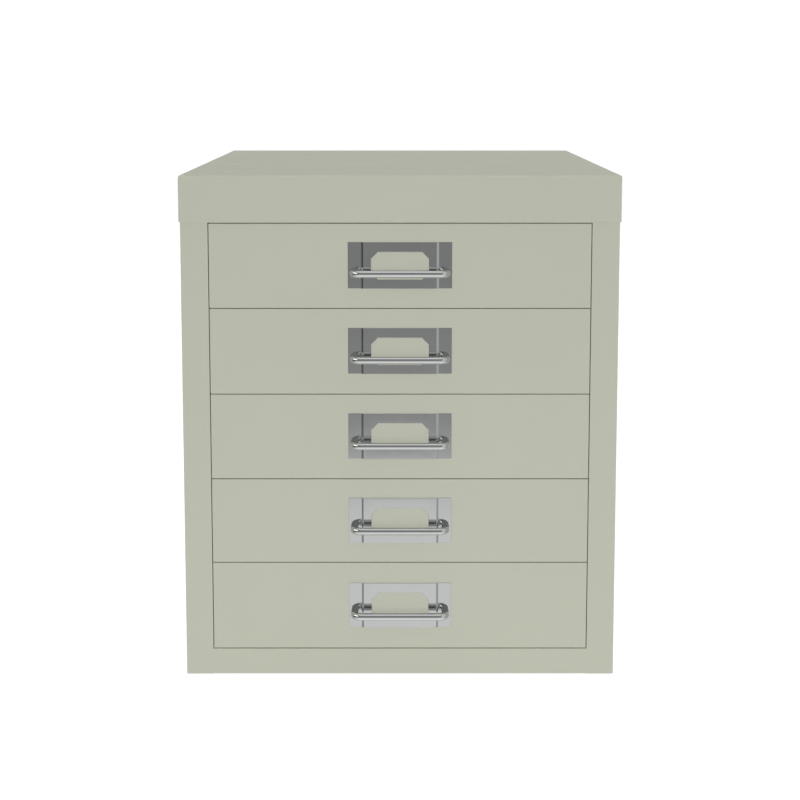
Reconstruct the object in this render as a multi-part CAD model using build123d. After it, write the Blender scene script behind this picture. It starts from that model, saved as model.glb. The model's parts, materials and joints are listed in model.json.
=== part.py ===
from build123d import *
import math
import os

# Desktop multi-drawer cabinet in folded sheet steel. Five shallow drawers for A4 paper slide out of a
# welded carcass under an overlapping cap. Each drawer front carries a chromed label holder and a bow
# handle. Millimetres, +Z up, drawers open towards -Y. The origin is the middle of the overall box,
# handles included, at table level.

# Overall sizes
cabinet_width = 279.0  # over the side flanges of the cap
cabinet_depth = 380.0  # over the front and rear flanges of the cap
cabinet_height = 325.0  # table to the top of the cap
drawer_count = 5

# Sheet, bends and the clearances of welded edges
shell_sheet = 0.8
cap_sheet = 0.8
drawer_sheet = 0.8
runner_sheet = 1.0
bend_inner_radius = 0.2
cap_bend_inner_radius = 0.5
bend_clearance = 0.1  # keeps a square sheet edge out of the inner bend beside it
front_edge_radius = 0.4  # round the drawer fronts and their opening

# Cap, front frame, rear and base
cap_flange_height = 29.4
opening_reveal = 0.45  # from the lower edge of the cap down to the drawer opening
stile_width = 17.5
stile_return = 12.0
bottom_rail_height = 17.0
rail_return = 12.0
rear_return = 12.0
foot_standoff = 1.0  # table to the lower edge of the shell
base_height = 5.8  # table to the upper face of the base

# Rubber feet
foot_inset = 22.0  # from the outside of the shell to the middle of a foot
foot_diameter = 16.0
foot_taper = 1.0
foot_stem_diameter = 5.8
foot_stem_clearance = 0.1
foot_head_diameter = 8.5
foot_head_height = 2.0

# Drawer fronts
front_gap = 0.4
front_depth = 12.0  # from the face to the rear edges of the returns
top_front_trim = 1.05  # the top front is this much lower than the others
bottom_front_extra = 2.2  # the bottom front reaches down this much further
inner_skin_inset = 0.4

# Drawer trays
flange_inset = 0.2  # from the side of the front to the edge of the tray's flange
flange_width = 5.2
tray_edge_radius = 0.5  # round the inside of the tray's rim
tray_rise = 3.0  # from the lower edge of a middle front up to the underside of the tray
flange_drop = 4.0  # from the upper edge of a middle front down to the top of the flange
rear_space = 10.8  # between the tray and the rear panel

# Runners, their uprights, the glides in the runners and the shoes on the drawers
runner_front_clearance = 1.2
flange_side_clearance = 1.4
lip_clearance = 1.4
runner_inner_height = 5.4
stop_clearance = 0.3
running_clearance = 0.2
upright_width = 18.0
upright_foot = 8.0
front_upright_setback = 26.0  # from the face to the front of the upright
rear_upright_setback = 48.4  # from the rear of the shell to the front of the upright
glide_length = 50.0
glide_height = 3.2
glide_setback = 1.0
glide_inset = 0.8
shoe_length = 14.0
shoe_side_clearance = 0.3

# Label holder
plate_sheet = 0.8
plate_height = 29.6
plate_margin = 3.9  # from the centre of a bow's leg out to the side of the holder
plate_lift = 0.5  # the holder sits this far above the middle of its front
step_margin = 5.1  # from the centre of a bow's leg in to the middle of the step
pocket_depth = 1.2
window_width = 36.5
window_height = 17.4
window_chamfer = 4.4
window_drop = 0.2

# Bow handle and its fixings
bow_wire_diameter = 4.8
bow_width = 58.2  # between the centres of the legs
bow_standoff = 12.5  # from the face to the centre of the bar
bow_bend_radius = 5.0
bow_drop = 4.4  # from the middle of the holder down to the bow
tenon_diameter = 3.0
tenon_clearance = 0.1
washer_diameter = 8.0
washer_thickness = 1.0
peened_head_diameter = 5.0
peened_head_height = 1.2
peened_head_edge = 0.5

# Places across the cabinet, for its right half
cap_half = cabinet_width / 2
shell_half = cap_half - cap_sheet
shell_inner_half = shell_half - shell_sheet
welded_half = shell_inner_half - bend_inner_radius - bend_clearance  # of sheets between the sides
opening_half = shell_half - stile_width
front_half = opening_half - front_gap
flange_half = front_half - flange_inset
tray_half = flange_half - flange_width
runner_web_x = flange_half + flange_side_clearance
runner_back_x = runner_web_x + runner_sheet
lip_end_x = tray_half + lip_clearance
leg_x = bow_width / 2

# Places from front to back
handle_reach = bow_standoff + bow_wire_diameter / 2
shell_depth = cabinet_depth - 2 * cap_sheet
face_y = handle_reach - (handle_reach + shell_depth + cap_sheet) / 2
shell_rear_y = face_y + shell_depth
rear_panel_y = shell_rear_y - 2 * shell_sheet
rail_rear_y = face_y + rail_return
skin_rear_y = face_y + drawer_sheet
tray_front_y = face_y + front_depth
tray_rear_y = rear_panel_y - rear_space
runner_front_y = tray_front_y + drawer_sheet + runner_front_clearance
runner_stop_y = tray_rear_y + stop_clearance
glide_front_y = runner_front_y + glide_setback
bar_y = face_y - bow_standoff

# Heights
cap_under_z = cabinet_height - cap_sheet
shell_top_z = cap_under_z - cap_bend_inner_radius - bend_clearance
cap_edge_z = cabinet_height - cap_flange_height
opening_top_z = cap_edge_z - opening_reveal
opening_bottom_z = foot_standoff + bottom_rail_height
fronts_height = opening_top_z - opening_bottom_z - (drawer_count + 1) * front_gap
front_height = (fronts_height + top_front_trim - bottom_front_extra) / drawer_count
drawer_pitch = front_height + front_gap
base_under_z = base_height - shell_sheet

# The travel ends where the shoe on a drawer meets the glide in its runner
drawer_travel = tray_rear_y - shoe_length - glide_front_y - glide_length - stop_clearance


def block(x, y, z):
    """A block between two limits along each axis."""
    sized = Box(x[1] - x[0], y[1] - y[0], z[1] - z[0], align=(Align.MIN, Align.MIN, Align.MIN))
    return Pos(x[0], y[0], z[0]) * sized


def rounded_block(x, y, z, radius, closed_end):
    """A block rounded along its closed end face and the four edges that run away from that face."""
    solid = block(x, y, z)
    axis = Axis.Y if closed_end == "front" else Axis.Z
    end_face = solid.faces().sort_by(axis)[-1 if closed_end == "top" else 0]
    return fillet(end_face.edges() + solid.edges().filter_by(axis), radius)


def pan(x, y, z, sheet, outer_radius, closed_end):
    """A five-sided folded sheet, closed at its top, bottom or front and open opposite."""
    outer = rounded_block(x, y, z, outer_radius, closed_end)
    inner_x = (x[0] + sheet, x[1] - sheet)
    inner_y = (y[0] + sheet, y[1] if closed_end == "front" else y[1] - sheet)
    inner_z = {
        "top": (z[0], z[1] - sheet),
        "bottom": (z[0] + sheet, z[1]),
        "front": (z[0] + sheet, z[1] - sheet),
    }[closed_end]
    inner_radius = outer_radius - sheet
    if inner_radius > 0:
        return outer - rounded_block(inner_x, inner_y, inner_z, inner_radius, closed_end)
    return outer - block(inner_x, inner_y, inner_z)


def rod_along_y(x, z, radius, y):
    """A round rod along Y between two limits."""
    centre = Pos(x, (y[0] + y[1]) / 2, z)
    return centre * Rot(90, 0, 0) * Cylinder(radius, y[1] - y[0])


def both_sides(shape):
    """A shape of the right half and its mirror image."""
    return {"right": shape, "left": mirror(shape, about=Plane.YZ)}


def module_top(number):
    """The level of the upper edge of a middle front in the place of drawer 1, 2 and so on from the top."""
    return opening_top_z - front_gap + top_front_trim - (number - 1) * drawer_pitch


def front_limits(number):
    """The lower and upper edges of a drawer front."""
    top = module_top(number)
    bottom = top - front_height
    return (
        bottom - (bottom_front_extra if number == drawer_count else 0),
        top - (top_front_trim if number == 1 else 0),
    )


def holder_middle(number):
    low, high = front_limits(number)
    return (low + high) / 2 + plate_lift


def tenon_holes(number, y):
    """The two holes that the tenons of a bow pass through."""
    radius = tenon_diameter / 2 + tenon_clearance
    z = holder_middle(number) - bow_drop
    return [rod_along_y(side * leg_x, z, radius, y) for side in (-1, 1)]


def top_cap():
    """The lid: a sheet folded down on all four sides over the shell."""
    return pan(
        (-cap_half, cap_half),
        (face_y - cap_sheet, shell_rear_y + cap_sheet),
        (cap_edge_z, cabinet_height),
        cap_sheet,
        cap_bend_inner_radius + cap_sheet,
        "top",
    )


def turned_edge():
    """The inner edge of the right stile, turned back along the drawer opening."""
    z = (opening_bottom_z, opening_top_z)
    face_x = (opening_half, opening_half + 2 * shell_sheet)
    face = block(face_x, (face_y, face_y + shell_sheet), z)
    turned = block((opening_half, opening_half + shell_sheet), (face_y, face_y + stile_return), z)
    corner = Vertex(opening_half, face_y, (z[0] + z[1]) / 2)
    edge = (face + turned).edges().filter_by(Axis.Z).sort_by_distance(corner)[0]
    return fillet(edge, front_edge_radius)


def side_panel():
    """The right side: one sheet that makes the stile in front and laps the back behind."""
    middle = Pos(0, (face_y + shell_rear_y) / 2)
    outer_radius = bend_inner_radius + shell_sheet
    outer = RectangleRounded(2 * shell_half, shell_depth, outer_radius)
    inner = RectangleRounded(2 * shell_inner_half, shell_depth - 2 * shell_sheet, bend_inner_radius)
    ring = middle * (outer - inner)
    height = shell_top_z - foot_standoff
    full = Pos(0, 0, foot_standoff) * extrude(ring, height)
    z = (foot_standoff, shell_top_z)
    split_y = (face_y + shell_rear_y) / 2
    stile_side = block((opening_half, shell_half), (face_y, split_y), z)
    rear_side = block((shell_half - rear_return, shell_half), (split_y, shell_rear_y), z)
    square_edge = block(
        (opening_half, opening_half + 2 * shell_sheet),
        (face_y, face_y + shell_sheet),
        (opening_bottom_z, opening_top_z),
    )
    return (full & (stile_side + rear_side)) - square_edge + turned_edge()


def rear_panel():
    """The flat back, welded inside the rear returns of the sides."""
    y = (rear_panel_y, rear_panel_y + shell_sheet)
    return block((-welded_half, welded_half), y, (foot_standoff, shell_top_z))


def front_rail(z):
    """A channel between the stiles, its returns lapping behind them."""
    face = block((-opening_half, opening_half), (face_y, rail_rear_y), z)
    edges = face.faces().sort_by(Axis.Y)[0].edges().filter_by(Axis.X)
    face = fillet(edges, front_edge_radius)
    lap_x = (-welded_half, welded_half)
    lap_y = (face_y + shell_sheet, rail_rear_y)
    laps = block(lap_x, lap_y, z)
    hollow = block(lap_x, lap_y, (z[0] + shell_sheet, z[1] - shell_sheet))
    return face + laps - hollow


def foot_places():
    x = shell_half - foot_inset
    front, rear = face_y + foot_inset, shell_rear_y - foot_inset
    return {
        "front_right": (x, front),
        "front_left": (-x, front),
        "rear_right": (x, rear),
        "rear_left": (-x, rear),
    }


def base_plate():
    """The floor of the shell, folded down on all four sides, with a hole for each foot."""
    plate = pan(
        (-shell_inner_half, shell_inner_half),
        (rail_rear_y, rear_panel_y),
        (foot_standoff, base_height),
        shell_sheet,
        bend_inner_radius + shell_sheet,
        "top",
    )
    hole = Cylinder(foot_stem_diameter / 2 + foot_stem_clearance, 4 * shell_sheet)
    for x, y in foot_places().values():
        plate -= Pos(x, y, base_height - shell_sheet / 2) * hole
    return plate


def foot(place):
    """A rubber foot with a stem pushed through the base and a head that holds it."""
    align = (Align.CENTER, Align.CENTER, Align.MIN)
    pad = Cylinder(foot_diameter / 2, base_under_z, align=align)
    pad = chamfer(pad.faces().sort_by(Axis.Z)[0].edges(), foot_taper)
    stem = Cylinder(foot_stem_diameter / 2, base_height, align=align)
    head = Pos(0, 0, base_height) * Cylinder(foot_head_diameter / 2, foot_head_height, align=align)
    return Pos(*place) * (pad + stem + head)


def upright(front_y):
    """A hat-section post between a side panel and its runners, standing on the base."""
    rear_y = front_y + upright_width
    z = (base_height, shell_top_z)
    x = (runner_back_x, shell_inner_half)
    hat = block(x, (front_y, rear_y), z)
    hat -= block((x[0] + runner_sheet, x[1]), (front_y + runner_sheet, rear_y - runner_sheet), z)
    foot_x = (shell_inner_half - runner_sheet, shell_inner_half)
    front_foot = block(foot_x, (front_y - upright_foot, front_y), z)
    rear_foot = block(foot_x, (rear_y, rear_y + upright_foot), z)
    return hat + front_foot + rear_foot


def flange_limits(number):
    top = module_top(number) - flange_drop
    return top - drawer_sheet, top


def groove_limits(number):
    """The floor and the ceiling of the groove in a runner."""
    floor = flange_limits(number)[0] - running_clearance - glide_height
    return floor, floor + runner_inner_height


def runner(number):
    """A right-hand channel that takes a drawer's flange, closed behind as the drawer's rear stop."""
    low, high = groove_limits(number)
    rear_y = runner_stop_y + runner_sheet
    outside = block(
        (lip_end_x, runner_back_x), (runner_front_y, rear_y), (low - runner_sheet, high + runner_sheet)
    )
    return outside - block((lip_end_x, runner_web_x), (runner_front_y, runner_stop_y), (low, high))


def glide(number):
    """The strip on the floor of a runner, at its mouth, that the flange slides on."""
    low = groove_limits(number)[0]
    return block(
        (lip_end_x + glide_inset, runner_web_x),
        (glide_front_y, glide_front_y + glide_length),
        (low, low + glide_height),
    )


def shoe(number):
    """The block clipped round the rear end of a drawer's flange."""
    low, high = groove_limits(number)
    y = (tray_rear_y - shoe_length, tray_rear_y)
    solid = block(
        (lip_end_x + stop_clearance, runner_web_x - shoe_side_clearance),
        y,
        (low + running_clearance, high - running_clearance),
    )
    return solid - block((lip_end_x, flange_half), y, flange_limits(number))


def drawer_front(number):
    """The outer skin of a drawer front, folded back on four sides."""
    shape = pan(
        (-front_half, front_half),
        (face_y, tray_front_y),
        front_limits(number),
        drawer_sheet,
        front_edge_radius,
        "front",
    )
    for hole in tenon_holes(number, (face_y, skin_rear_y)):
        shape -= hole
    return shape


def drawer_tray(number):
    """The tray with its side flanges, and the inner skin that closes the hollow front."""
    flange_low, flange_top = flange_limits(number)
    floor_z = module_top(number) - front_height + tray_rise
    outer_radius = bend_inner_radius + drawer_sheet
    tray = pan(
        (-tray_half, tray_half),
        (tray_front_y, tray_rear_y),
        (floor_z, flange_top),
        drawer_sheet,
        outer_radius,
        "bottom",
    )
    flange_x = (tray_half - drawer_sheet, flange_half)
    flange = block(flange_x, (tray_front_y, tray_rear_y), (flange_low, flange_top))
    for side in both_sides(flange).values():
        tray += side
    inner_edges = [
        edge
        for edge in tray.edges().filter_by(Axis.Y)
        if abs(edge.center().Z - flange_top) < 0.01
        and abs(abs(edge.center().X) - (tray_half - drawer_sheet)) < 0.01
    ]
    tray = fillet(inner_edges, tray_edge_radius)
    low, high = front_limits(number)
    skin_half = front_half - inner_skin_inset
    skin = block(
        (-skin_half, skin_half),
        (tray_front_y, tray_front_y + drawer_sheet),
        (low + inner_skin_inset, high - inner_skin_inset),
    )
    return tray + skin


def handle_plate(number):
    """The label holder: flat wings, a raised middle with a window, and a lip under the card pocket."""
    wing_half = leg_x + plate_margin
    foot_half = leg_x - step_margin + pocket_depth / 2
    crest_half = foot_half - pocket_depth
    tuck = plate_sheet * math.tan(math.radians(22.5))
    wing_y = face_y - plate_sheet
    crest_y = wing_y - pocket_depth
    right = [
        (crest_half, crest_y),
        (foot_half, wing_y),
        (wing_half, wing_y),
        (wing_half, face_y),
        (foot_half - tuck, face_y),
        (crest_half - tuck, crest_y + plate_sheet),
    ]
    outline = right + [(-x, y) for x, y in reversed(right)]
    middle_z = holder_middle(number)
    bottom_z = middle_z - plate_height / 2
    profile = make_face(Polyline(outline, close=True))
    plate = Pos(0, 0, bottom_z) * extrude(profile, plate_height, dir=(0, 0, 1))
    lip_half = crest_half - tuck
    plate += block((-lip_half, lip_half), (crest_y, face_y), (bottom_z, bottom_z + plate_sheet))
    window = Rectangle(window_width, window_height)
    window = chamfer(window.vertices(), window_chamfer)
    window_z = middle_z - window_drop
    plate -= Pos(0, crest_y, window_z) * extrude(Plane.XZ * window, plate_sheet, both=True)
    for hole in tenon_holes(number, (wing_y, face_y)):
        plate -= hole
    return plate


def handle_bow(number):
    """The bow: a round bar bent back at both ends, with tenons peened over behind the front's skin."""
    root_y = face_y - plate_sheet
    z = holder_middle(number) - bow_drop
    corners = [(leg_x, root_y, z), (leg_x, bar_y, z), (-leg_x, bar_y, z), (-leg_x, root_y, z)]
    path = FilletPolyline(*corners, radius=bow_bend_radius)
    start = Plane(origin=path @ 0, z_dir=path % 0)
    bow = sweep(start * Circle(bow_wire_diameter / 2), path)
    head_y = skin_rear_y + washer_thickness
    for x in (-leg_x, leg_x):
        tenon = rod_along_y(x, z, tenon_diameter / 2, (root_y, head_y))
        head = rod_along_y(x, z, peened_head_diameter / 2, (head_y, head_y + peened_head_height))
        head = chamfer(head.faces().sort_by(Axis.Y)[-1].edges(), peened_head_edge)
        bow += [tenon, head]
    return bow


def washers(number):
    """The two washers under the peened heads of a bow."""
    z = holder_middle(number) - bow_drop
    y = (skin_rear_y, skin_rear_y + washer_thickness)
    discs = [rod_along_y(side * leg_x, z, washer_diameter / 2, y) for side in (-1, 1)]
    return [disc - hole for disc, hole in zip(discs, tenon_holes(number, y))]


def carcass_parts():
    """Everything that stays still, by node name."""
    parts = {
        "top_cap": top_cap(),
        "rear_panel": rear_panel(),
        "base_plate": base_plate(),
        "front_rail_top": front_rail((opening_top_z, shell_top_z)),
        "front_rail_bottom": front_rail((foot_standoff, opening_bottom_z)),
    }
    for side, shape in both_sides(side_panel()).items():
        parts[f"side_panel_{side}"] = shape
    for place, centre in foot_places().items():
        parts[f"foot_{place}"] = foot(centre)
    uprights = {
        "front": upright(face_y + front_upright_setback),
        "rear": upright(shell_rear_y - rear_upright_setback),
    }
    for end, shape in uprights.items():
        for side, sided in both_sides(shape).items():
            parts[f"upright_{end}_{side}"] = sided
    glides = {"right": [], "left": []}
    for number in range(1, drawer_count + 1):
        for side, shape in both_sides(runner(number)).items():
            parts[f"runner_{side}_{number}"] = shape
        for side, shape in both_sides(glide(number)).items():
            glides[side].append(shape)
    for side, shapes in glides.items():
        parts[f"runner_glides_{side}"] = Compound(shapes)
    return parts


def drawer_parts(number):
    """The pieces of one drawer, by node name, counted from the top."""
    return {
        f"drawer_{number}_front": drawer_front(number),
        f"drawer_{number}_tray": drawer_tray(number),
        f"drawer_{number}_handle_plate": handle_plate(number),
        f"drawer_{number}_handle_bow": handle_bow(number),
        f"drawer_{number}_washers": Compound(washers(number)),
        f"drawer_{number}_shoes": Compound(list(both_sides(shoe(number)).values())),
    }


def main():
    os.makedirs("parts", exist_ok=True)
    parts = carcass_parts()
    for number in range(1, drawer_count + 1):
        parts.update(drawer_parts(number))
    for name, shape in parts.items():
        export_step(shape, f"parts/{name}.step")
    print(f"{len(parts)} nodes, drawer travel {drawer_travel:.2f} mm, face at y {face_y:.3f} mm")
    print(f"front height {front_height:.2f} mm, pitch {drawer_pitch:.2f} mm")


main()
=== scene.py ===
"""Looks of a steel desktop cabinet with five drawers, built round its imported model. Metres throughout."""

import json
import math

import bmesh
import bpy
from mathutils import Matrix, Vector

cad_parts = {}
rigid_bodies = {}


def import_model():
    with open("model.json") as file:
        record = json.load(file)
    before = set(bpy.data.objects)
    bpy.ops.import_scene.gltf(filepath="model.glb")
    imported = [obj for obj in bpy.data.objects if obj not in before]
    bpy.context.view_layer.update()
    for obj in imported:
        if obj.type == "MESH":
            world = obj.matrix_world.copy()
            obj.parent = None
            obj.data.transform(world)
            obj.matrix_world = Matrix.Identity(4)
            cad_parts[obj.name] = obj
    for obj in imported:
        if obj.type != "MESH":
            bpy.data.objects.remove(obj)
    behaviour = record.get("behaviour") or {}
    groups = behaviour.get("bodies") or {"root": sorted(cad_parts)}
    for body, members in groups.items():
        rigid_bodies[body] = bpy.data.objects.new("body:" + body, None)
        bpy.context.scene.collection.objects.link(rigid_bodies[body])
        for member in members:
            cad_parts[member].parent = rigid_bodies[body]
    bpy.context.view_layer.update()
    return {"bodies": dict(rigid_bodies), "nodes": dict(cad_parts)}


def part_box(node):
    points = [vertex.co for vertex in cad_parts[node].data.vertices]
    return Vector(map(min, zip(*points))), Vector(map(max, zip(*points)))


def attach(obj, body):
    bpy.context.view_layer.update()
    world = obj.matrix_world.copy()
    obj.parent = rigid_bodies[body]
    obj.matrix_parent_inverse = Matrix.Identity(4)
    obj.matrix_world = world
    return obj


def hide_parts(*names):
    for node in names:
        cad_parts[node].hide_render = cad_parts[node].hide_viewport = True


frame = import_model()
nodes = frame["nodes"]

MM = 0.001
drawer_numbers = range(1, 1 + sum(name.startswith("drawer_") for name in frame["bodies"]))

# Camera: distance before the cap, height above the table, tilt in degrees, lens and sensor in millimetres
camera_distance = 1.1341
camera_height = 0.3874
camera_tilt = 7.80
camera_lens = 81.28
camera_sensor = 36.0
camera_shift_y = -0.097

# Colours, as linear light
paint_colour = (0.447, 0.464, 0.376)
paint_colour_deep = (0.440, 0.457, 0.370)
chrome_colour = (0.545, 0.552, 0.552)
zinc_colour = (0.42, 0.42, 0.41)
nylon_colour = (0.62, 0.60, 0.52)
rubber_colour = (0.018, 0.018, 0.019)

# Orange peel of the powder coat
peel_scale = 620.0
peel_depth = 0.03 * MM

# Label holder: one sheet of steel, with a sloping step between its wings and its raised middle
sheet = 0.8 * MM
sheet_bend_radius = 0.7 * MM
sheet_bend_steps = 5
step_slope = 45.0
step_rise = 1.2 * MM
# The middle of the step, as seen on the front face, and how much further in the sheet's middle line runs
step_middle_x = 24.0 * MM
step_shift = 0.2 * sheet
window_width = 36.5 * MM
window_height = 17.4 * MM
window_chamfer = 4.4 * MM
window_drop = 0.2 * MM
lip_inset = 0.02 * MM
cut_edge_bevel = 0.18 * MM

# Bow: round wire with a tenon at each end, peened to a head
wire_radius = 2.4 * MM
wire_sides = 40
bow_bend_radius = 5.0 * MM
bow_bend_steps = 18
tenon_radius = 1.5 * MM
tenon_root_depth = 0.1 * MM
tenon_sides = 24
head_radius = 2.5 * MM
head_height = 1.2 * MM
head_edge = 0.5 * MM

# Material of a CAD node and the rounding of its cut edges, by the first of these words in its name
finishes = {
    "foot": ("rubber", 0.5 * MM),
    "glides": ("nylon", 0.3 * MM),
    "shoes": ("nylon", 0.3 * MM),
    "washers": ("zinc", 0.15 * MM),
    "handle": ("chrome", None),
    "runner": ("scuffed", 0.2 * MM),
    # Welded flush and painted over, so their meeting edges stay sharp
    "side_panel": ("paint", None),
    "front_rail": ("paint", None),
}
other_finish = ("paint", 0.2 * MM)

# Shading and rounding of edges
smooth_angle = math.radians(40.0)
edge_angle = math.radians(35.0)
edge_segments = 2
flat_face_weight = 80
flat_angle = math.radians(0.5)
same_point = 0.001 * MM

# What polished metal mirrors: greys from left (0) to right (1), of the wall and of the floor
wall_greys = [(0.0, 0.06), (0.35, 0.30), (0.65, 0.33), (0.80, 0.36), (0.84, 0.88), (0.95, 0.85), (1.0, 0.57)]
floor_greys = [(0.0, 0.30), (0.25, 0.93), (0.75, 0.98), (1.0, 0.40)]
# The floor comes in below the horizon, slowly at first: degrees down and its share there
floor_shares = [
    (6.0, 0.0), (9.3, 0.09), (10.8, 0.16), (12.0, 0.39), (13.4, 0.88), (14.6, 0.98), (17.0, 1.0),
]
# Greys of the near floor and of the ceiling, and the angles in degrees between which they come in
near_floor_grey = 1.12
near_floor_angles = (-25.0, -40.0)
ceiling_grey = 1.05
ceiling_angles = (45.0, 60.0)
# A bright panel to the left, above eye level: where its edges fade, as parts of the direction
panel_grey = 2.3
panel_right_edge = (-0.60, -0.70)
panel_lower_edge = (0.22, 0.30)
panel_upper_edge = (0.66, 0.58)

# Strength of the white behind the object, and the grey of the even light that reaches the paint
backdrop_strength = 1.05
surround_grey = 0.30

# The floor gives off light of its own, so that it stays white under the object
floor_half = 6.0
floor_grey = 0.22
floor_glow = 0.935

# Soft lights: place, aim, (width, height), power in watts, spread in degrees
lights = {
    "right_softbox": ((1.5, 0.25, 0.7), (0.0, 0.05, 0.15), (1.3, 1.3), 6.0, 180.0),
    "left_softbox": ((-1.5, 0.25, 0.7), (0.0, 0.05, 0.15), (1.3, 1.3), 3.8, 180.0),
    "rear_softbox": ((0.0, 3.0, 1.0), (0.0, 0.1, 0.15), (2.0, 1.5), 22.0, 180.0),
    "key_softbox": ((0.0, -2.7, 1.5), (0.0, -0.1, 0.25), (2.4, 1.8), 14.0, 180.0),
    "top_softbox": ((0.0, 0.0, 2.5), (0.0, 0.0, 0.3), (1.5, 1.5), 25.2, 180.0),
    "front_softbox": ((0.0, -2.7, 0.4), (0.0, -0.18, 0.16), (1.2, 1.2), 15.2, 180.0),
    "low_fill": ((0.0, -1.2, 0.04), (0.0, -0.18, -0.04), (0.8, 0.05), 0.08, 40.0),
}


class Tree:
    """Adds nodes to one node tree, with their inputs linked or set as they are made."""

    def __init__(self, tree):
        self.tree = tree
        tree.nodes.clear()

    def feed(self, node, inputs):
        """Links or sets inputs of a node, each given by its name or number."""
        for key, value in inputs.items():
            if isinstance(value, bpy.types.NodeSocket):
                self.tree.links.new(value, node.inputs[key])
            else:
                node.inputs[key].default_value = value

    def add(self, kind, inputs=None, **settings):
        made = self.tree.nodes.new(kind)
        for name, value in settings.items():
            setattr(made, name, value)
        self.feed(made, inputs or {})
        return made

    def ramp(self, factor, stops):
        """A colour ramp through stops of (position, linear colour or grey)."""
        made = self.add("ShaderNodeValToRGB", {"Fac": factor})
        elements = made.color_ramp.elements
        while len(elements) < len(stops):
            elements.new(0.5)
        for element, (position, colour) in zip(elements, stops):
            element.position = position
            element.color = solid(colour)
        return made.outputs["Color"]

    def spread(self, value, source, target=(0.0, 1.0), smooth=False):
        """A value carried from one range to another, kept inside it."""
        limits = {"From Min": source[0], "From Max": source[1], "To Min": target[0], "To Max": target[1]}
        curve = "SMOOTHSTEP" if smooth else "LINEAR"
        made = self.add("ShaderNodeMapRange", {"Value": value, **limits}, interpolation_type=curve)
        return made.outputs["Result"]

    def maths(self, operation, *values):
        made = self.add("ShaderNodeMath", dict(enumerate(values)), operation=operation)
        return made.outputs["Value"]

    def noise(self, place, scale, detail=2.0, roughness=0.5):
        inputs = {"Vector": place, "Scale": scale, "Detail": detail, "Roughness": roughness}
        return self.add("ShaderNodeTexNoise", inputs).outputs["Fac"]

    def cells(self, place, scale):
        return self.add("ShaderNodeTexVoronoi", {"Vector": place, "Scale": scale}).outputs["Distance"]

    def relief(self, height, strength, depth):
        """A fine relief, as the normal that a shader takes."""
        inputs = {"Height": height, "Strength": strength, "Distance": depth}
        return self.add("ShaderNodeBump", inputs).outputs["Normal"]

    def mix(self, factor, first, second):
        """Two colours, the second taking over as the factor rises. Sockets 6, 7 and 2 are the colour ones."""
        made = self.add("ShaderNodeMix", {"Factor": factor, 6: first, 7: second}, data_type="RGBA")
        return made.outputs[2]

    def either(self, factor, first, second):
        """Two shaders, the second taking over as the factor rises."""
        return self.add("ShaderNodeMixShader", {"Fac": factor, 1: first, 2: second}).outputs[0]

    def background(self, colour, strength=1.0):
        return self.add("ShaderNodeBackground", {"Color": colour, "Strength": strength}).outputs[0]


def solid(colour):
    """An opaque colour from three parts or from one grey."""
    if isinstance(colour, float):
        colour = (colour,) * 3
    return (*colour, 1.0)


def scaled(colour, share):
    return tuple(share * value for value in colour)


def begin_material(name):
    """A material with a bare shader, its tree and the coordinates of the piece in metres."""
    material = bpy.data.materials.new(name)
    material.use_nodes = True
    tree = Tree(material.node_tree)
    shader = tree.add("ShaderNodeBsdfPrincipled")
    tree.add("ShaderNodeOutputMaterial", {"Surface": shader.outputs["BSDF"]})
    place = tree.add("ShaderNodeTexCoord").outputs["Object"]
    return material, tree, shader, place


def powder_coat():
    """Satin powder coat: an even warm grey-green with a fine orange peel."""
    material, tree, shader, place = begin_material("powder_coat")
    cloud = tree.noise(place, scale=14.0, detail=3.0)
    peel = tree.noise(place, scale=peel_scale, roughness=0.4)
    grain = tree.noise(place, scale=2600.0, detail=1.0)
    height = tree.maths("MULTIPLY_ADD", grain, 0.18, peel)
    gloss = tree.noise(place, scale=45.0)
    tree.feed(shader, {
        "Base Color": tree.ramp(cloud, [(0.3, paint_colour_deep), (0.7, paint_colour)]),
        "Roughness": tree.spread(gloss, (0.25, 0.75), (0.36, 0.44)),
        "Normal": tree.relief(height, strength=0.6, depth=peel_depth),
    })
    return material


def scuffed_coat():
    """The same coat on the runners, rubbed to bare steel in thin streaks along their length."""
    material, tree, shader, place = begin_material("scuffed_coat")
    stretched = tree.add("ShaderNodeMapping", {"Vector": place, "Scale": (900.0, 14.0, 900.0)})
    streaks = tree.noise(stretched.outputs["Vector"], scale=1.0, detail=4.0, roughness=0.6)
    wear = tree.spread(streaks, (0.60, 0.68))
    peel = tree.noise(place, scale=peel_scale, roughness=0.4)
    height = tree.maths("SUBTRACT", peel, tree.maths("MULTIPLY", wear, 0.5))
    tree.feed(shader, {
        "Base Color": tree.ramp(wear, [(0.0, paint_colour_deep), (1.0, zinc_colour)]),
        "Metallic": wear,
        "Roughness": tree.spread(wear, (0.0, 1.0), (0.42, 0.3)),
        "Normal": tree.relief(height, strength=0.6, depth=peel_depth),
    })
    return material


def bright_chrome():
    """Bright chrome plate: a slight waviness from the steel below and a breath of haze."""
    material, tree, shader, place = begin_material("bright_chrome")
    haze = tree.noise(place, scale=90.0, detail=3.0)
    wave = tree.noise(place, scale=160.0, detail=1.0)
    tree.feed(shader, {
        "Metallic": 1.0,
        "Base Color": tree.ramp(haze, [(0.3, scaled(chrome_colour, 0.97)), (0.7, chrome_colour)]),
        "Roughness": tree.spread(haze, (0.3, 0.8), (0.035, 0.07)),
        "Normal": tree.relief(wave, strength=0.35, depth=0.01 * MM),
    })
    return material


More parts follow.
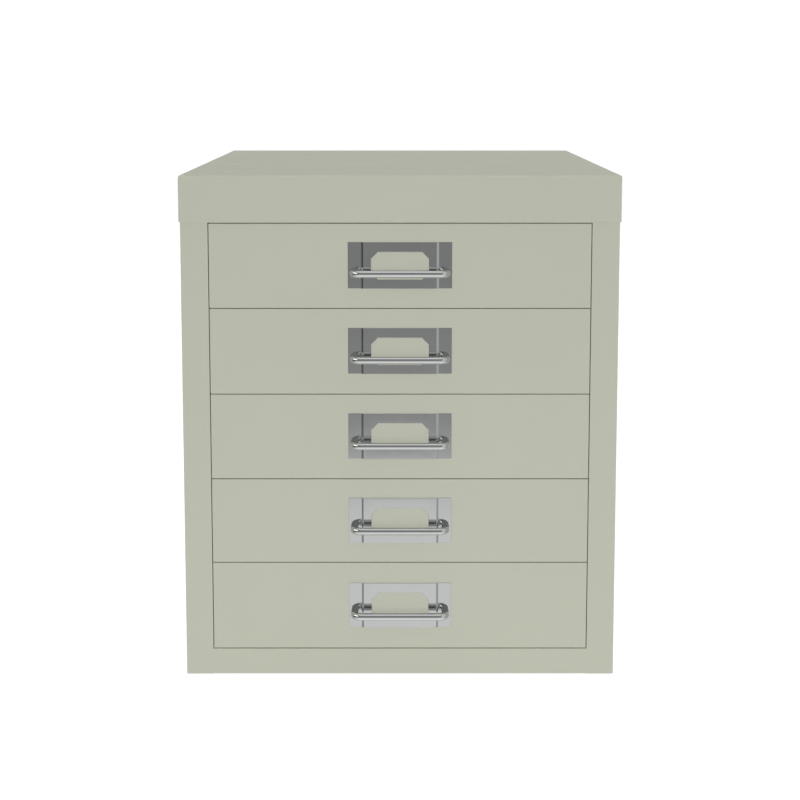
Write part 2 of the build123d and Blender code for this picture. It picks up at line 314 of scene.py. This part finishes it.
def zinc_plate():
    """Dull zinc plate with its faint crystals."""
    material, tree, shader, place = begin_material("zinc_plate")
    crystals = tree.cells(place, scale=900.0)
    tree.feed(shader, {
        "Metallic": 1.0,
        "Base Color": tree.ramp(crystals, [(0.0, zinc_colour), (0.8, scaled(zinc_colour, 1.15))]),
        "Roughness": tree.spread(crystals, (0.0, 0.8), (0.34, 0.5)),
    })
    return material


def natural_nylon():
    """Moulded nylon, slightly milky, with the fine texture of its mould."""
    material, tree, shader, place = begin_material("natural_nylon")
    cloud = tree.noise(place, scale=120.0)
    mould = tree.noise(place, scale=3500.0, detail=1.0)
    tree.feed(shader, {
        "Subsurface Weight": 0.15,
        "Subsurface Radius": (0.8 * MM, 0.7 * MM, 0.5 * MM),
        "Base Color": tree.ramp(cloud, [(0.3, scaled(nylon_colour, 0.93)), (0.7, nylon_colour)]),
        "Roughness": tree.spread(cloud, (0.3, 0.7), (0.42, 0.52)),
        "Normal": tree.relief(mould, strength=0.5, depth=0.02 * MM),
    })
    return material


def black_rubber():
    """Matt black rubber with a dusty bloom and a pebbled skin."""
    material, tree, shader, place = begin_material("black_rubber")
    bloom = tree.noise(place, scale=260.0, detail=4.0, roughness=0.7)
    pebbles = tree.cells(place, scale=1800.0)
    tree.feed(shader, {
        "Base Color": tree.ramp(bloom, [(0.4, rubber_colour), (0.75, scaled(rubber_colour, 2.2))]),
        "Roughness": tree.spread(bloom, (0.3, 0.7), (0.68, 0.85)),
        "Normal": tree.relief(pebbles, strength=0.6, depth=0.05 * MM),
    })
    return material


def arc(centre, radius, start, end, steps):
    """Points on an arc in a plane, angles in degrees."""
    points = []
    for step in range(steps + 1):
        angle = math.radians(start + (end - start) * step / steps)
        points.append((centre[0] + radius * math.cos(angle), centre[1] + radius * math.sin(angle)))
    return points


def finish_mesh(name, mesh_builder, material):
    """An object from a bmesh, shaded smooth across its gentle angles."""
    bmesh.ops.remove_doubles(mesh_builder, verts=mesh_builder.verts, dist=same_point)
    bmesh.ops.recalc_face_normals(mesh_builder, faces=mesh_builder.faces)
    data = bpy.data.meshes.new(name)
    mesh_builder.to_mesh(data)
    mesh_builder.free()
    data.shade_smooth()
    data.set_sharp_from_angle(angle=smooth_angle)
    data.materials.append(material)
    piece = bpy.data.objects.new(name, data)
    bpy.context.scene.collection.objects.link(piece)
    return piece


def round_edges(piece, width):
    """Rounds the sharp edges of a piece and keeps its flat faces flat."""
    bevel = piece.modifiers.new("rounded_edges", "BEVEL")
    bevel.width = width
    bevel.segments = edge_segments
    bevel.limit_method = "ANGLE"
    bevel.angle_limit = edge_angle
    bevel.miter_outer = "MITER_ARC"
    bevel.harden_normals = False
    normals = piece.modifiers.new("even_normals", "WEIGHTED_NORMAL")
    normals.keep_sharp = False
    normals.weight = flat_face_weight


def round_cad_edges(node, width):
    """Rounds the cut edges of a CAD sheet through modifiers, which leave its mesh as it is."""
    weld = node.modifiers.new("one_skin", "WELD")
    weld.merge_threshold = same_point
    flat = node.modifiers.new("whole_faces", "DECIMATE")
    flat.decimate_type = "DISSOLVE"
    flat.angle_limit = flat_angle
    round_edges(node, width)


def dress_cad_nodes(materials):
    """Gives every carried-over CAD node its material, and rounds the edges of those that show."""
    for name, node in nodes.items():
        word = next((word for word in finishes if word in name), None)
        material, width = finishes.get(word, other_finish)
        node.data.materials.clear()
        node.data.materials.append(materials[material])
        if width:
            round_cad_edges(node, width)


def fit_to_drawer(piece, number, node_name):
    """A chromed piece rides on its drawer and stands for a CAD node."""
    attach(piece, f"drawer_{number}")
    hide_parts(node_name)
    # Bright metal sends back the light that it takes from the paint, so scattered light passes it by
    piece.visible_diffuse = False


def bent_sheet_line(wing_half, wing_y, crest_y):
    """The middle line of the holder's sheet, left half and right half, with rounded bends."""
    rise = wing_y - crest_y
    foot_x = step_middle_x + rise / 2 - step_shift
    crest_x = foot_x - rise
    reach = sheet_bend_radius * math.tan(math.radians(step_slope / 2))
    crest_centre = (crest_x - reach, crest_y + sheet_bend_radius)
    foot_centre = (foot_x + reach, wing_y - sheet_bend_radius)
    crest_arc = arc(crest_centre, sheet_bend_radius, -90, step_slope - 90, sheet_bend_steps)
    foot_arc = arc(foot_centre, sheet_bend_radius, step_slope + 90, 90, sheet_bend_steps)
    right = [*crest_arc, *foot_arc, (wing_half, wing_y)]
    left = [(-x, y) for x, y in reversed(right)]
    return left, right


def add_face(mesh, corners):
    mesh.faces.new([mesh.verts.new(corner) for corner in corners])


def holder_plate(number, material):
    """The label holder as one bent sheet: wings, raised middle with its window, and the lip below."""
    low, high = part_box(f"drawer_{number}_handle_plate")
    wing_y = high.y - sheet / 2
    crest_y = wing_y - step_rise
    left, right = bent_sheet_line(high.x, wing_y, crest_y)
    crest_x = right[0][0]
    middle_z = (low.z + high.z) / 2 - window_drop
    half_w = window_width / 2
    half_h = window_height / 2
    mesh = bmesh.new()
    # Wings and steps
    for line in (left, right):
        for (x0, y0), (x1, y1) in zip(line, line[1:]):
            add_face(mesh, [(x0, y0, low.z), (x1, y1, low.z), (x1, y1, high.z), (x0, y0, high.z)])
    # Raised middle, as two halves round the window
    half_outline = [
        (crest_x, low.z),
        (0.0, low.z),
        (0.0, middle_z - half_h),
        (half_w - window_chamfer, middle_z - half_h),
        (half_w, middle_z - half_h + window_chamfer),
        (half_w, middle_z + half_h - window_chamfer),
        (half_w - window_chamfer, middle_z + half_h),
        (0.0, middle_z + half_h),
        (0.0, high.z),
        (crest_x, high.z),
    ]
    for side in (-1, 1):
        add_face(mesh, [(side * x, crest_y, z) for x, z in half_outline])
    # Lip, turned back to the front of the drawer
    lip_z = low.z + sheet / 2 + lip_inset
    lip_corners = [(-crest_x, crest_y), (crest_x, crest_y), (crest_x, high.y), (-crest_x, high.y)]
    add_face(mesh, [(x, y, lip_z) for x, y in lip_corners])
    piece = finish_mesh(f"drawer_{number}_label_holder", mesh, material)
    thickness = piece.modifiers.new("sheet", "SOLIDIFY")
    thickness.thickness = sheet
    thickness.offset = 0.0
    thickness.use_even_offset = True
    round_edges(piece, cut_edge_bevel)
    fit_to_drawer(piece, number, f"drawer_{number}_handle_plate")


def skin_rings(mesh, rings):
    """A closed skin over rings of points that have the same number of sides."""
    for first, second in zip(rings, rings[1:]):
        for side in range(len(first)):
            following = (side + 1) % len(first)
            mesh.faces.new([first[side], first[following], second[following], second[side]])
    mesh.faces.new(rings[0])
    mesh.faces.new(rings[-1])


def tube(mesh, path, radius, sides):
    """A closed round tube along a path that lies in one horizontal plane."""
    rings = []
    up = Vector((0.0, 0.0, 1.0))
    angles = [2 * math.pi * side / sides for side in range(sides)]
    for index, point in enumerate(path):
        before = path[max(index - 1, 0)]
        after = path[min(index + 1, len(path) - 1)]
        out = (after - before).normalized().cross(up)
        spokes = [math.cos(angle) * out + math.sin(angle) * up for angle in angles]
        rings.append([mesh.verts.new(point + radius * spoke) for spoke in spokes])
    skin_rings(mesh, rings)


def lathe_along_y(mesh, x, z, profile, sides):
    """A closed round form about an axis along Y, through profile points of (radius, y)."""
    rings = []
    for radius, y in profile:
        circle = arc((x, z), radius, 0.0, 360.0, sides)[:-1]
        rings.append([mesh.verts.new((ring_x, y, ring_z)) for ring_x, ring_z in circle])
    skin_rings(mesh, rings)


def bow_handle(number, material):
    """The bow: round wire bent to a flat D, with the tenons and peened heads behind the front."""
    low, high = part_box(f"drawer_{number}_handle_bow")
    plate_back_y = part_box(f"drawer_{number}_handle_plate")[1].y
    z = (low.z + high.z) / 2
    leg_x = high.x - wire_radius
    bar_y = low.y + wire_radius
    root_y = plate_back_y - sheet
    bend_centre = (leg_x - bow_bend_radius, bar_y + bow_bend_radius)
    bend = [Vector((x, y, z)) for x, y in arc(bend_centre, bow_bend_radius, 0, -90, bow_bend_steps)]
    right = [Vector((leg_x, root_y, z)), *bend]
    left = [Vector((-point.x, point.y, point.z)) for point in reversed(right)]
    mesh = bmesh.new()
    tube(mesh, right + left, wire_radius, wire_sides)
    head_y = high.y - head_height
    profile = [
        (tenon_radius, root_y - tenon_root_depth),
        (tenon_radius, head_y),
        (head_radius, head_y),
        (head_radius, high.y - head_edge),
        (head_radius - head_edge, high.y),
    ]
    for x in (-leg_x, leg_x):
        lathe_along_y(mesh, x, z, profile, tenon_sides)
    piece = finish_mesh(f"drawer_{number}_bow", mesh, material)
    fit_to_drawer(piece, number, f"drawer_{number}_handle_bow")


def sines(angles):
    """The height of a direction for each angle above the horizon, in degrees."""
    return [math.sin(math.radians(angle)) for angle in angles]


def mirrored_studio(tree):
    """What polished metal sees: a wall, darker to the left, a pale floor, a ceiling and a bright panel."""
    direction = tree.add("ShaderNodeTexCoord").outputs["Generated"]
    parts = tree.add("ShaderNodeSeparateXYZ", {"Vector": direction})
    side, rise = parts.outputs["X"], parts.outputs["Z"]
    across = tree.spread(side, (-1.0, 1.0))
    wall = tree.ramp(across, wall_greys)
    floor = tree.ramp(across, floor_greys)
    drops = sines(degrees for degrees, share in floor_shares)
    first, last = drops[0], drops[-1]
    stops = [((drop - first) / (last - first), share) for drop, (degrees, share) in zip(drops, floor_shares)]
    below = tree.ramp(tree.spread(rise, (-first, -last)), stops)
    above = tree.spread(rise, sines(ceiling_angles), smooth=True)
    near = tree.spread(rise, sines(near_floor_angles), smooth=True)
    outward = tree.spread(side, panel_right_edge, smooth=True)
    over = tree.spread(rise, panel_lower_edge, smooth=True)
    under = tree.spread(rise, panel_upper_edge, smooth=True)
    panel = tree.maths("MULTIPLY", outward, tree.maths("MULTIPLY", over, under))
    lower = tree.mix(below, wall, floor)
    whole = tree.mix(above, lower, solid(ceiling_grey))
    lit_floor = tree.mix(near, whole, solid(near_floor_grey))
    return tree.mix(panel, lit_floor, solid(panel_grey))


def studio_world():
    """White for the camera, the studio for polished metal, and an even soft light for all else."""
    world = bpy.data.worlds.new("studio")
    bpy.context.scene.world = world
    world.use_nodes = True
    tree = Tree(world.node_tree)
    path = tree.add("ShaderNodeLightPath").outputs
    mirrored = tree.background(mirrored_studio(tree))
    soft = tree.background(solid(surround_grey))
    white = tree.background(solid(1.0), backdrop_strength)
    unseen = tree.either(path["Is Glossy Ray"], soft, mirrored)
    surface = tree.either(path["Is Camera Ray"], unseen, white)
    tree.add("ShaderNodeOutputWorld", {"Surface": surface})


def studio_floor():
    """A plain pale floor, which stays white to the camera and shows in no mirror."""
    mesh = bpy.data.meshes.new("floor")
    corners = [(x * floor_half, y * floor_half, 0.0) for x, y in ((-1, -1), (1, -1), (1, 1), (-1, 1))]
    mesh.from_pydata(corners, [], [(0, 1, 2, 3)])
    floor = bpy.data.objects.new("floor", mesh)
    bpy.context.scene.collection.objects.link(floor)
    material = bpy.data.materials.new("floor")
    material.use_nodes = True
    tree = Tree(material.node_tree)
    diffuse = tree.add("ShaderNodeBsdfDiffuse", {"Color": solid(floor_grey)}).outputs[0]
    glow = tree.add("ShaderNodeEmission", {"Color": solid(1.0), "Strength": floor_glow}).outputs[0]
    both = tree.add("ShaderNodeAddShader", {0: diffuse, 1: glow}).outputs[0]
    tree.add("ShaderNodeOutputMaterial", {"Surface": both})
    mesh.materials.append(material)
    floor.visible_glossy = False


def studio_light(name, place, aim, size, power, spread):
    """A soft rectangular light that shows in no mirror."""
    data = bpy.data.lights.new(name, "AREA")
    data.shape = "RECTANGLE"
    data.size, data.size_y = size
    data.energy = power
    data.spread = math.radians(spread)
    light = bpy.data.objects.new(name, data)
    light.location = place
    light.rotation_mode = "QUATERNION"
    light.rotation_quaternion = (Vector(aim) - Vector(place)).to_track_quat("-Z", "Y")
    light.visible_glossy = False
    light.visible_camera = False
    bpy.context.scene.collection.objects.link(light)


def photo_camera():
    """The photograph's view: from in front, a little above the cap, looking slightly down."""
    cap_front_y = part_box("top_cap")[0].y
    data = bpy.data.cameras.new("photo_camera")
    data.lens = camera_lens
    data.sensor_width = camera_sensor
    data.shift_y = camera_shift_y
    camera = bpy.data.objects.new("photo_camera", data)
    camera.location = (0.0, cap_front_y - camera_distance, camera_height)
    camera.rotation_euler = (math.radians(90.0 - camera_tilt), 0.0, 0.0)
    bpy.context.scene.collection.objects.link(camera)
    bpy.context.scene.camera = camera


def main():
    photo_camera()
    materials = {
        "paint": powder_coat(),
        "scuffed": scuffed_coat(),
        "chrome": bright_chrome(),
        "zinc": zinc_plate(),
        "nylon": natural_nylon(),
        "rubber": black_rubber(),
    }
    dress_cad_nodes(materials)
    for number in drawer_numbers:
        holder_plate(number, materials["chrome"])
        bow_handle(number, materials["chrome"])
    studio_world()
    studio_floor()
    for name, settings in lights.items():
        studio_light(name, *settings)
    bpy.context.scene.view_settings.view_transform = "Standard"


main()
